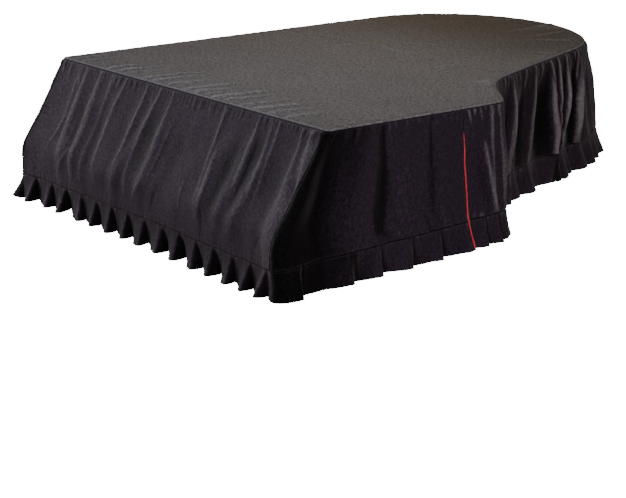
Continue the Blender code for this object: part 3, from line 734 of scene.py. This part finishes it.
# How a panel's edges are sewn: they turn in towards their seams, and its first lip passes behind the panel before it.
sewing = {
    "length": 0.31,
    "lip": (-0.005, -0.0034, -0.002, -0.001, -0.0004),
    "topTurn": (0.0026, 0.002),  # from how far off, and how deep
    "bottomTurn": (0.0042, 0.003),
    "sideTurn": 0.0022,
    "topRise": 0.0009,
    "bottomFall": 0.0003,
    "lapReach": 0.0012,
    "sewnTo": (0.064, 0.006),  # down to here the slit is sewn together
    "sewnLap": 0.0005,
    "lapFrom": (0.08, 0.01),  # from here on its rear lip lies under the front one
    "slitLap": 0.003,
    "slitClosed": 0.15,
}
ridgeLightReaches = [(0.0085, 0.001), (0.022, 0.006), (0.05, 0.0)]  # painted highlight and shade for folds of three sizes: reach, shift towards the light
panels = {
    "frontApron": {"node": "apron_front", "from": cornerSeam, "to": frontEnd - cornerSeam, "cell": (0.0036, 0.0046),
                   "grooves": (0.0024, 0.0004), "flat": (1.47, 0.39), "wearAndPaintedLight": 0.5, "crisp": 0.85},
    "trebleSkirt": {"node": "skirt_treble", "from": frontEnd - cornerSeam, "to": slit, "cell": (0.003, 0.0045),
                    "grooves": (0.0024, 0.0012), "flat": (0.5, 0.36), "crisp": 1.3},
    "bentsideSkirt": {"node": "skirt_bentside", "from": slit, "to": tailSeam, "cell": (0.0036, 0.0046),
                      "grooves": (0.0012, 0.0008), "flat": (1.25, 0.3), "crisp": 4.4, "sink": 1.1},
    "tailSkirt": {"node": "skirt_tail", "from": tailSeam, "to": hang["bassSeam"], "cell": (0.0046, 0.0056),
                  "grooves": (0.0028, 0.0008), "flat": (1.25, 0.3)},
    "bassSkirt": {"node": "skirt_bass", "from": hang["bassSeam"], "to": lidLength + cornerSeam,
                  "cell": (0.0046, 0.0056), "grooves": (0.0028, 0.0004), "flat": (1.2, 0.35)},
}


# Painted light and shade on the nap, beyond what its folds give: by how much, from where over which run, to where,
# how that end leans with the drop, and over which run.
paintedLightStretches = [
    (0.0026, frontEnd - 0.085, 0.035, frontEnd - 0.024, 0, 0),  # painted light on the apron by the treble front corner,
    (-0.012, frontEnd - 0.024, 0.008, frontEnd + 0.014, 0.26, 0.02),  # behind its arris no light reaches,
    (-0.0034, frontEnd, 0, frontEnd + 0.19, 0.1, 0.14),  # and the treble side beside it is dim
    (0.0008, slit, 0, tailSeam, 0, 0),  # painted light on the bentside just behind the slit,
    (-0.0027, 2.02, 0.06, tailSeam, 0, 0),  # and dim from there on
    (0.0011, 0, 0, 0.55, 0, 0.3),  # painted light on the apron's bass end
]


def paintedLightAndShade(s, drop):
    total = np.zeros(len(s))
    for gain, start, rise, end, lean, fall in paintedLightStretches:
        total += gain * smooth((s - start) / max(rise, 1e-9)) * smooth((end + lean * drop - s) / max(fall, 1e-9))
    return total


def hangPanel(name, panel):
    start, end = panel["from"], panel["to"]
    along = spread(end - start, panel["cell"][0]) / (end - start)
    if start != slit:
        along = np.concatenate([np.array(sewing["lip"]) / (end - start), along])
    down = spread(sewing["length"], panel["cell"][1]) / sewing["length"]
    before, behind = panel["grooves"]

    def past(drop, limit):
        return smooth((drop - limit[0]) / limit[1])

    def place(column, row):
        share = down[row]
        drop = panelTop + (seamDrop(np.full(len(row), slit)) - panelTop) * share
        first, last = np.full(len(row), start + halfGap), np.full(len(row), end - halfGap)
        tuck = np.zeros(len(row))
        loose = past(drop, sewing["sewnTo"])
        sewn = sewing["sewnLap"] * (1.0 - loose)
        if end == slit:
            last = slitLine(drop) - halfGap + sewn
        if start == slit:
            first = slitLine(drop) + halfGap - sewing["slitLap"] * past(drop, sewing["lapFrom"]) - sewn
            tuck = slitTuck((last - first) * along[column], drop)
        s = first + (last - first) * along[column]
        drop = panelTop + (seamDrop(s) - panelTop) * share
        height = seamDrop(s) - panelTop
        above, below = share * height, (1 - share) * height
        closed = np.where(drop < hang["slitTop"], 1.0, sewing["slitClosed"]) if end == slit else 1.0
        tuck = tuck + turnedIn(above, *sewing["topTurn"]) + turnedIn(below, *sewing["bottomTurn"])
        tuck = tuck + turnedIn(s - first, sewing["sideTurn"], before)
        tuck = tuck + turnedIn(last - s, sewing["sideTurn"], behind) * closed
        fold = foldHeight(s, drop)
        x, y, z = coverPoint(s, drop, tuck, fold)
        z = z + sewing["topRise"] * smooth(1.0 - above / sewing["lapReach"])
        z = z - sewing["bottomFall"] * smooth(1.0 - below / sewing["lapReach"])
        beside = np.minimum(s - first + (start == slit) * loose, last - s + (end == slit) * loose)
        return x, y, z, s, drop, np.minimum(np.minimum(above, below), beside), fold, paintedLightAndShade(s, drop)

    # how strongly ridges take painted highlight, with some wear, and hollows painted shade, for folds of each size
    cell, ridges = panel["cell"][0], (panel.get("crisp", 0.55), panel.get("wearAndPaintedLight", 0.12), 0.0)
    hollows = (0.55, 0.45, panel.get("sink", 0.36))
    lifts = [(reach / cell, round(shift / cell), *shares)
             for (reach, shift), *shares in zip(ridgeLightReaches, ridges, hollows)]
    return finishCloth(clothGrid(name, len(along) - 1, len(down) - 1, place, lifts), blackCloth, redReverse)


# The frill: how its pleats change round the lid, and their lines. The rest are spaced by chance.
frill = {
    "height": 0.083,
    "gap": 0.0007,
    "seamBand": 0.05,
    "tuckRise": 0.0025,
    "columns": 24,
    "rows": 18,
    "pitch": 0.098,
    "seed": 11,
    "cornerPleat": 1.549,  # the front strip ends in this one
    "slitFlank": 0.01,
    "slitReach": 0.25,  # how far from the slit the pleats follow its line
    "head": (-0.0022, -0.0009),  # its top is sewn in behind the hem
    "headTurn": (0.004, 0.0048),
    "lap": 0.004,  # the end's lip passes behind the next strip
    "lapTuck": 0.0024,
    "wobble": (0.0016, 0.001),
    "curl": 0.35,
    "dimmer": 0.0011,
    # painted shade at each pleat's apex, below the seam
    "apexShade": 0.009,
    # across a pleat, between its tucked lines: how far out, how far on at the seam, at the hem and on the flank
    "wave": (0, 0.26, 0.56, 0.9, 1, 0.5, 0),
    "atSeam": (0, 0.22, 0.46, 0.7, 0.88, 0.94, 1),
    "atHem": (0, 0.24, 0.52, 0.8, 1, 1, 1),
    "onFlank": (0, 0, 0, 0, 0, 0.5, 1),
    "pleats": metres(4, [  # round, crest's reach at the hem, depth, run of the rear flank
        (0, 42, 42, 9), (150, 22, 42, 9), (1400, 22, 42, 9), (1520, 20, 30, 9), (1640, 14, 22, 7),
        (1920, 14, 22, 7), (2100, 20, 24, 10), (2500, 22, 28, 10), (3000, 28, 28, 12), (3600, 34, 30, 14),
        (4200, 28, 28, 14), (4900, 22, 24, 12), (5300, 30, 34, 10), (5400, 42, 42, 9),
    ]),
    "lines": metres(2, [  # apex in the seam, crest at the hem, share of the depth
        (14, 10, 1), (107, 74, 1.2), (215, 188, 0.85), (313, 272, 1.3), (417, 407, 0.75), (512, 492, 0.9),
        (612, 594, 1.1), (705, 682, 0.95), (802, 777, 0.95), (906, 884, 1), (999, 978, 1.15), (1095, 1090, 0.9),
        (1190, 1172, 1.15), (1290, 1264, 0.9), (1380, 1346, 1), (1470, 1428, 1.1), (1549, 1538, 0.9),
        (1660, 1654, 1), (1713, 1709, 1.1), (1775, 1765, 0.9), (1842, 1833, 1.2), (1990, 1980, 1),
        (2032, 2034, 1.1), (2110, 2100, 1), (2205, 2195, 0.9), (2290, 2275, 1.1), (2375, 2360, 1),
        (2462, 2444, 1.1), (2547, 2530, 1), (2640, 2620, 0.9), (2786, 2758, 0.7), (2824, 2836, 1.1),
        (2892, 2866, 1), (2972, 2950, 0.9), (3036, 3006, 1), (3090, 3078, 1),
    ]),
}


def frillLines():
    chance = random.Random(frill["seed"])
    lines = sorted(frill["lines"] + [(slit, slit - frill["slitFlank"], 0.9)])
    start, end = lines[-1][0], lines[0][0] + lidLength
    count = round((end - start) / frill["pitch"])
    widths = [1.0 + chance.uniform(-0.15, 0.15) for _ in range(count)]
    for k in range(1, count):
        apex = start + (end - start) * sum(widths[:k]) / sum(widths)
        lines.append((apex, apex - chance.uniform(0.006, 0.03), chance.uniform(0.8, 1.15)))
    return lines + [(end, lines[0][1] + lidLength, lines[0][2])]


def pleatRow(s, column):
    return readRows(frill["pleats"], np.mod(s, lidLength), column)


def frillPoint(s, wave, depthShare, down, tuck, wobble):
    crest, depth, height = pleatRow(s, 1), pleatRow(s, 2) * depthShare, frill["height"]
    ahead, behind = (np.array(plainPoint(s + step, seamDrop(s + step))[:2]) for step in (0.004, -0.004))
    alongX, alongY = (ahead - behind) / np.hypot(*(ahead - behind))
    x, y, z = coverPoint(s, seamDrop(s), tuck)
    openShare = np.maximum(0.0, (down - frill["seamBand"]) / (1.0 - frill["seamBand"]))
    push = crest * openShare**1.1 - depth * openShare**0.9 * (1.0 - wave) + wobble * openShare
    rise = frill["tuckRise"] * forwardShare(s) * (1.0 - wave) * down
    fall = height * down - frill["curl"] * push * push / height - rise
    lift = (frill["gap"] + 0.0003) * smooth(1.0 - down * height / 0.0014)
    return x + alongY * push, y - alongX * push, z - frill["gap"] - fall + lift, push


def frillSlitLine(down):
    return slitLine(seamDrop(np.full(len(down), slit)) + frill["height"] * down)


def sewFrill(name, first, last, wearAndPaintedLight):
    before = [(apex - lidLength, crest - lidLength, depth) for apex, crest, depth in pleatLines[:-1]]
    lines = np.array([line for line in before + pleatLines if first - 0.001 < line[0] < last + 0.001])
    pleats, each, height = len(lines) - 1, frill["columns"], frill["height"]
    downs = spread(height, height / frill["rows"], (0.0, 0.0005, 0.0013, 0.0026))
    downs = np.concatenate([frill["head"], downs]) / height
    phases = np.arange(7.0)

    def soft(phase, line, reach=0.16):
        return sum(np.interp(np.clip(phase + reach * k, 0, 6), phases, frill[line])
                   for k in (-1, -0.5, 0, 0.5, 1)) / 5

    def place(column, row):
        down = downs[row]
        pleat = np.minimum(column // each, pleats - 1)
        phase = (column - pleat * each) * 6.0 / each
        apex, crest, depth = lines[pleat].T
        nextApex, nextCrest, nextDepth = lines[pleat + 1].T
        inner, flank = crest + pleatRow(crest, 3), pleatRow(nextCrest, 3)

        def position(phase):
            atSeam = apex + (nextApex - apex) * soft(phase, "atSeam")
            atHem = inner + (nextCrest - inner) * soft(phase, "atHem") + flank * soft(phase, "onFlank")
            return atSeam + (atHem - atSeam) * down

        def followSlit(s, away):
            return s + (frillSlitLine(down) - slit) * np.maximum(0.0, 1.0 - away / frill["slitReach"])

        wave = np.where((phase == 0) | (phase == 6), 0.0, soft(phase, "wave"))
        s = position(phase)
        s = np.where(phase == 0, apex + (inner - apex) * down, s)
        s = np.where(phase == 6, nextApex + (nextCrest + flank - nextApex) * down, s)
        share = depth + (nextDepth - depth) * phase / 6
        tuck = np.zeros(len(s))
        if last == slit:
            final = (pleat == pleats - 1) & (phase > 3)
            lip = slit - frill["slitFlank"] * (6 - np.maximum(phase, 4.0)) / 2
            lip = np.where(phase < 4, position(np.full(len(s), 3.0)) * (4 - phase) + lip * (phase - 3), lip)
            s = np.where(final, lip, s)
            wave = np.where(final, np.interp(phase, (3, 4, 5, 6), (0.9, 1.0, 0.9, 0.8)), wave)
            s = followSlit(s, slit - s)
        if first == slit:
            tuck = slitTuck(s - slit, 1.0)
            s = np.where((pleat == 0) & (phase < 1), np.maximum(s, slit), s)
            s = followSlit(s, s - slit)
        s = s + np.where(column == 0, halfGap if first != slit else hang["redEdge"] + 3 * halfGap, 0.0)
        s = s + np.where(column == pleats * each, frill["lap"] if last != slit else -halfGap, 0.0)
        tuck = (tuck + frill["lapTuck"] * ((column > pleats * each - 2) & (last != slit))
                + turnedIn(down * height, *frill["headTurn"]))
        slow, quick = frill["wobble"]
        wobble = slow * np.sin(s * 61.0 + 1.0) + quick * np.sin(s * 143.0 + down * 2.2)
        x, y, z, push = frillPoint(s, wave, share, down, tuck, wobble)
        # painted shade at each pleat's apex, fading towards the hem
        apexShade = bell(np.minimum(phase, 6 - phase) / 0.45) * smooth((1.0 - down) / 0.9)
        # the painted light and shade by the treble front corner reach into the two front strips; below its seam band
        # the frill is a little darker
        shade = paintedLightAndShade(s, seamDrop(s)) * (name in ("frontFrill", "trebleFrill"))
        return (x, y, z, s + wave * 0.03, 1.0 + down * height, down * height, push - frill["apexShade"] * apexShade,
                shade - frill["dimmer"] * smooth(down / 0.25))

    # painted highlight, with some wear, on the pleats and painted shade in their tucks: reach, shift towards the
    # light, shares
    sheet = clothGrid(name, pleats * each, len(downs) - 1, place,
                      [(1.6, 0, 0.85 * wearAndPaintedLight, 0.55 * wearAndPaintedLight), (4.0, 2, 0.18 * wearAndPaintedLight, 0.3 * wearAndPaintedLight), (9.0, 4, 0.0, 0.32 * wearAndPaintedLight)])
    return finishCloth(sheet, blackCloth, redReverse, redRim=True)


def turnSlitEdge():
    upper = np.linspace(hang["redTop"], float(seamDrop(np.array([slit]))[0]), 48)
    lower = np.linspace(0.0, 1.0, 14)

    def place(column, row):
        onPanel = row < len(upper)
        drop = upper[np.minimum(row, len(upper) - 1)]
        down = lower[np.clip(row - len(upper) + 1, 0, len(lower) - 1)]
        across = column / 6.0
        bulge = 0.0008 * np.sin(math.pi * across)
        s = slitLine(drop) + 0.00015 + redWidth(drop) * across
        hem = frillSlitLine(down) + 0.00015 + hang["redEdge"] * across
        below = frillPoint(hem, np.full(len(s), 0.8), 0.9, down, -bulge, np.zeros(len(s)))
        x, y, z = (np.where(onPanel, *both) for both in zip(coverPoint(s, drop, -bulge), below))
        return x, y, z, s, drop + down * frill["height"], np.full(len(s), 0.02), np.zeros(len(s))

    return finishCloth(clothGrid("slitEdge", 6, len(upper) + len(lower) - 2, place), redReverse, redReverse)


pleatLines = frillLines()
tailEnd = min((line[0] for line in pleatLines), key=lambda apex: abs(apex - hang["bassSeam"]))
bassEnd, corner = pleatLines[-2][0], frill["cornerPleat"]
frills = {
    "frontFrill": {"node": "frill_front", "from": bassEnd - lidLength, "to": corner,
                   "flat": (2.05, 0.085), "wearAndPaintedLight": 1.3},
    "trebleFrill": {"node": "frill_treble", "from": corner, "to": slit, "flat": (0.58, 0.085), "wearAndPaintedLight": 1.1},
    "bentsideFrill": {"node": "frill_bentside", "from": slit, "to": tailSeam, "flat": (1.45, 0.085), "wearAndPaintedLight": 1.5},
    "tailFrill": {"node": "frill_tail", "from": tailSeam, "to": tailEnd, "flat": (1.4, 0.085), "wearAndPaintedLight": 1.0},
    "bassFrill": {"node": "frill_bass", "from": tailEnd, "to": bassEnd, "flat": (1.32, 0.085), "wearAndPaintedLight": 1.0},
}


def sheetArea(piece):  # half of the closed wall's surface
    return sum(p.area for p in piece.data.polygons) / 2


top = layTop()
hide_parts("top_panel")
print("top laid, area", round(sheetArea(top), 3))

edgePiece = turnSlitEdge()
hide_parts("slit_edge")
for name, panel in panels.items():
    piece = hangPanel(name, panel)
    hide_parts(panel["node"])
    [edgePiece] if name == "trebleSkirt" else []
    print(name, "hung, area", round(sheetArea(piece), 3))
for name, strip in frills.items():
    piece = sewFrill(name, strip["from"], strip["to"], strip["wearAndPaintedLight"])
    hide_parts(strip["node"])
    above = name.replace("Frill", "Apron" if name == "frontFrill" else "Skirt")
    print(name, "sewn, area", round(sheetArea(piece), 3))

# The room: a pale floor, soft lights, and the camera.
room = {
    "floorZ": -1.008,
    "glow": 18.0,  # seen as bright as this, though it lights the cloth far less
    "bounce": (0.2, 0.2, 0.2),
    "sky": 0.11,
    "lights": [
        # name, from, towards, size, power, colour
        ("keyLight", (-4.7, -3.1, 1.28), (0.0, -0.5, -0.2), 1.2, 246.0, (1.0, 0.89, 0.98)),
        ("overhead", (0.1, -0.6, 1.6), (0.1, -0.3, 0.0), 1.2, 43.0, (0.9, 0.99, 1.06)),
        ("topRake", (-3.4, 2.6, 1.4), (-0.1, 0.3, 0.0), 0.8, 64.0, (1.0, 0.71, 0.31)),
        ("sideFill", (5.2, -2.7, 0.7), (0.3, -0.2, -0.2), 1.6, 275.0, (1.0, 0.88, 1.0)),
        ("rim", (3.0, 5.2, 1.6), (0.3, 0.4, -0.2), 1.4, 70.0, (1.0, 0.8, 0.52)),
    ],
}
bpy.ops.mesh.primitive_plane_add(size=60.0, location=(0.0, 0.0, room["floorZ"]))
floor = bpy.context.object
floor.name = "studioFloor"
floorFinish, floorTree, floorShader = newMaterial("paleFloor")
setInputs(floorShader, {"Base Color": (*room["bounce"], 1.0), "Roughness": 0.9, "Emission Strength": room["glow"]})
seen = addNode(floorTree, "ShaderNodeLightPath", {}, {})
floorTree.links.new((seen * 1.0).socket, floorShader.inputs["Emission Color"])
floor.data.materials.append(floorFinish)

sky = bpy.data.worlds.new("studioSky")
sky.use_nodes = True
setInputs(sky.node_tree.nodes["Background"], {"Color": (1.0, 1.0, 1.0, 1.0), "Strength": room["sky"]})
bpy.context.scene.world = sky
for name, start, towards, size, power, colour in room["lights"]:
    bpy.ops.object.light_add(type="AREA", location=start)
    light = bpy.context.object
    light.name = name
    light.data.size, light.data.energy, light.data.color = size, power, colour
    light.rotation_euler = (Vector(towards) - Vector(start)).to_track_quat("-Z", "Y").to_euler()
    light.select_set(False)

view = {"place": (4.481, -3.29, 0.944), "yaw": 56.67, "pitch": 15.52, "roll": -1.63, "lens": 1833.0 * 36.0 / 626.0}
yaw, pitch, roll = (math.radians(view[k]) for k in ("yaw", "pitch", "roll"))
ahead = Vector((-math.sin(yaw) * math.cos(pitch), math.cos(yaw) * math.cos(pitch), -math.sin(pitch)))
level = Vector((math.cos(yaw), math.sin(yaw), 0.0))
upward = level.cross(ahead)
rightward = level * math.cos(roll) + upward * math.sin(roll)
upward = upward * math.cos(roll) - level * math.sin(roll)
bpy.ops.object.camera_add(location=view["place"])
camera = bpy.context.object
camera.name = "camera"
camera.rotation_euler = Matrix((rightward, upward, -ahead)).transposed().to_euler()
camera.data.lens = view["lens"]
camera.data.sensor_width = 36.0
camera.data.clip_end = 200.0
bpy.context.scene.camera = camera
camera.select_set(False)
print("room and camera set")
